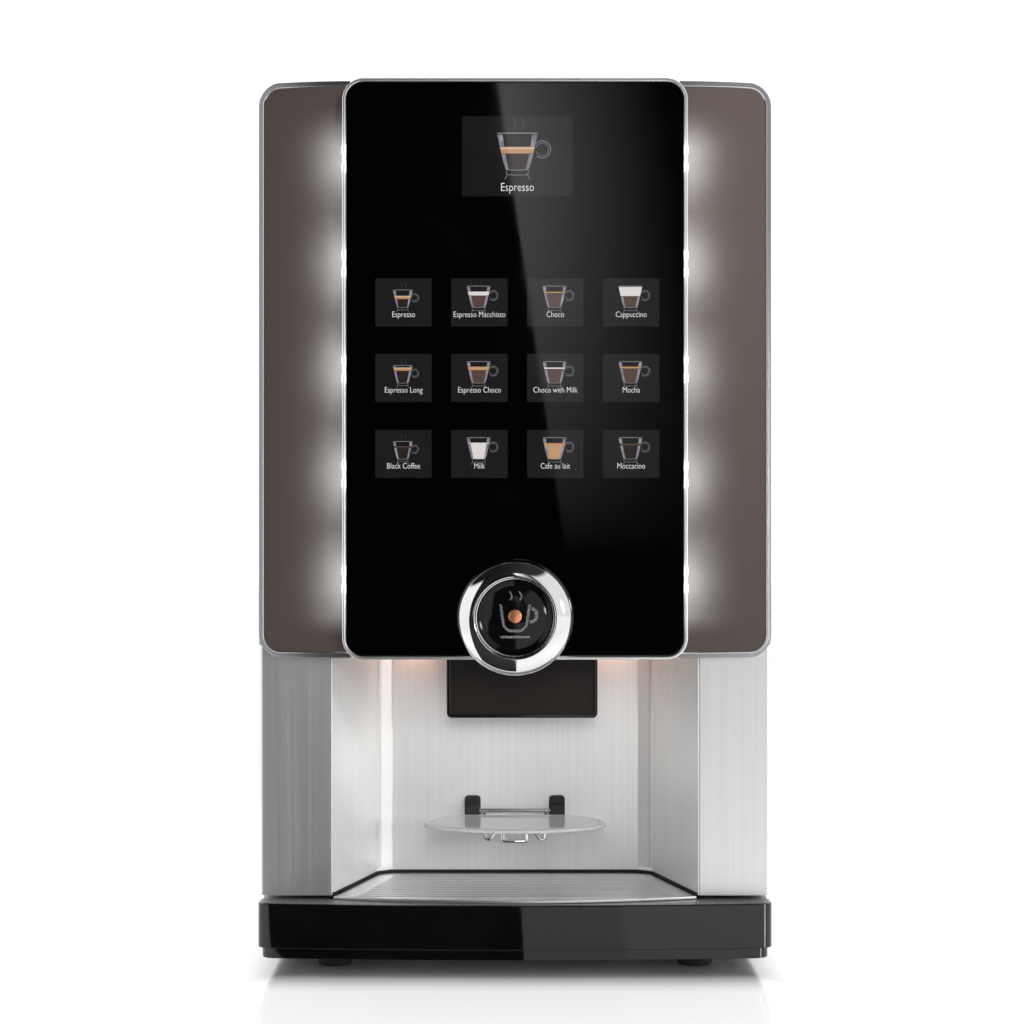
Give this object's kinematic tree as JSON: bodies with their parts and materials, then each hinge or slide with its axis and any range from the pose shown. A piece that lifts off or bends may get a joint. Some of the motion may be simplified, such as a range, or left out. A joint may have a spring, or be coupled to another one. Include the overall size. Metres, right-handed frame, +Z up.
{
  "type": "hot coffee vending machine",
  "caption": "Table-top hot drinks machine: black touch panel, brown wings, steel dispensing niche with a folding clear cup shelf, pull-out drip tray, hinged door and top lid.",
  "frame": {"origin": "on the floor under the middle of the machine", "axes": "+Z up, +X to the right seen from the front, +Y to the rear"},
  "size_m": [0.41, 0.54, 0.712],
  "materials": {
    "brushed_steel": "vertical brushed",
    "zinc_steel": "zinc-plated sheet, satin",
    "chrome": "polished",
    "silver_trim": "satin silver",
    "brown_wing": "satin metallic brown",
    "black_glass": "opaque black, polished",
    "black_gloss": "high gloss",
    "black_matte": "fine moulded grain",
    "clear_plate": "clear, polished edge",
    "smoke_plastic": "clear smoke tint",
    "graphite_paint": "fine textured powder coat",
    "white_plastic": "moulded, food grade",
    "black_rubber": "matt",
    "brass": "satin",
    "cast_alloy": "black-painted cast alloy"
  },
  "bodies": {
    "cabinet": {"chassis_base": "zinc_steel", "foot_front_left": "black_rubber", "foot_front_right": "black_rubber", "foot_rear_left": "black_rubber", "foot_rear_right": "black_rubber", "side_panel_left": "graphite_paint", "side_panel_right": "graphite_paint", "rear_panel": "graphite_paint", "top_frame": "graphite_paint", "bulkhead": "zinc_steel", "hinge_pin_bottom": "chrome", "hinge_pin_top": "chrome", "bean_hopper": "smoke_plastic", "grinder": "cast_alloy", "brew_unit": "black_matte", "waste_bin": "black_matte", "powder_canister_1": "white_plastic", "mixing_bowl_1": "white_plastic", "whipper_motor_1": "black_matte", "powder_canister_2": "white_plastic", "mixing_bowl_2": "white_plastic", "whipper_motor_2": "black_matte", "boiler": "brass", "pump": "black_matte", "inlet_valve": "brass", "power_supply": "zinc_steel"},
    "door": {"door_frame": "brushed_steel", "door_inner_cover": "zinc_steel", "column_left": "brushed_steel", "column_right": "brushed_steel", "niche_liner": "brushed_steel", "spout_cover": "black_matte", "nozzle_block": "black_matte", "shelf_bracket_left": "black_matte", "shelf_bracket_right": "black_matte", "glass_bezel": "silver_trim", "glass_panel": "black_glass", "panel_carrier": "black_matte", "display_module": "black_matte", "wing_left": "brown_wing", "wing_right": "brown_wing", "wing_trim_left": "silver_trim", "wing_trim_right": "silver_trim", "emblem_ring": "chrome", "emblem_cap": "black_gloss"},
    "door_lock": {"lock_cylinder": "chrome"},
    "cup_shelf": {"shelf_plate": "clear_plate", "shelf_wire": "chrome"},
    "drip_drawer": {"drip_drawer_front": "black_gloss", "drip_tray": "black_matte"},
    "grille": {"drip_grille": "brushed_steel"},
    "service_lid": {"top_lid": "graphite_paint"},
    "bean_shutter": {"hopper_shutter": "black_matte"},
    "piston": {"brew_piston": "white_plastic"},
    "auger_drive_1": {"auger_1": "chrome"},
    "auger_drive_2": {"auger_2": "chrome"},
    "whipper_1": {"whipper_impeller_1": "white_plastic"},
    "whipper_2": {"whipper_impeller_2": "white_plastic"},
    "main_switch": {"power_rocker": "black_matte"}
  },
  "joints": [
    {"name": "door_hinge", "type": "hinge", "parent": "cabinet", "child": "door", "pos_m": [-0.1965, -0.15, 0.35], "axis": [0, 0, -1], "range_deg": [0, 95]},
    {"name": "lock_turn", "type": "hinge", "parent": "door", "child": "door_lock", "pos_m": [0.1975, -0.17, 0.48], "axis": [-1, 0, 0], "range_deg": [0, 90]},
    {"name": "shelf_fold", "type": "hinge", "parent": "door", "child": "cup_shelf", "pos_m": [0, -0.1125, 0.1145], "axis": [-1, 0, 0], "range_deg": [0, 86]},
    {"name": "drawer_slide", "type": "slide", "parent": "cabinet", "child": "drip_drawer", "axis": [0, -1, 0], "range_m": [0, 0.16]},
    {"name": "grille_lift", "type": "slide", "parent": "drip_drawer", "child": "grille", "axis": [0, 0, 1], "range_m": [0, 0.028]},
    {"name": "lid_hinge", "type": "hinge", "parent": "cabinet", "child": "service_lid", "pos_m": [0, 0.156, 0.7021], "axis": [-1, 0, 0], "range_deg": [0, 80]},
    {"name": "shutter_slide", "type": "slide", "parent": "cabinet", "child": "bean_shutter", "axis": [0, -1, 0], "range_m": [0, 0.04]},
    {"name": "piston_slide", "type": "slide", "parent": "cabinet", "child": "piston", "axis": [0, 0, -1], "range_m": [0, 0.03]},
    {"name": "auger_1_spin", "type": "hinge", "parent": "cabinet", "child": "auger_drive_1", "pos_m": [0.045, 0, 0.525], "axis": [0, -1, 0], "continuous": true},
    {"name": "auger_2_spin", "type": "hinge", "parent": "cabinet", "child": "auger_drive_2", "pos_m": [0.13, 0, 0.525], "axis": [0, -1, 0], "continuous": true},
    {"name": "whipper_1_spin", "type": "hinge", "parent": "cabinet", "child": "whipper_1", "pos_m": [0.045, -0.09, 0.405], "axis": [0, -1, 0], "continuous": true},
    {"name": "whipper_2_spin", "type": "hinge", "parent": "cabinet", "child": "whipper_2", "pos_m": [0.13, -0.09, 0.405], "axis": [0, -1, 0], "continuous": true},
    {"name": "switch_rock", "type": "hinge", "parent": "cabinet", "child": "main_switch", "pos_m": [0.142, 0.256, 0.1], "axis": [1, 0, 0], "range_deg": [-9, 9]}
  ]
}
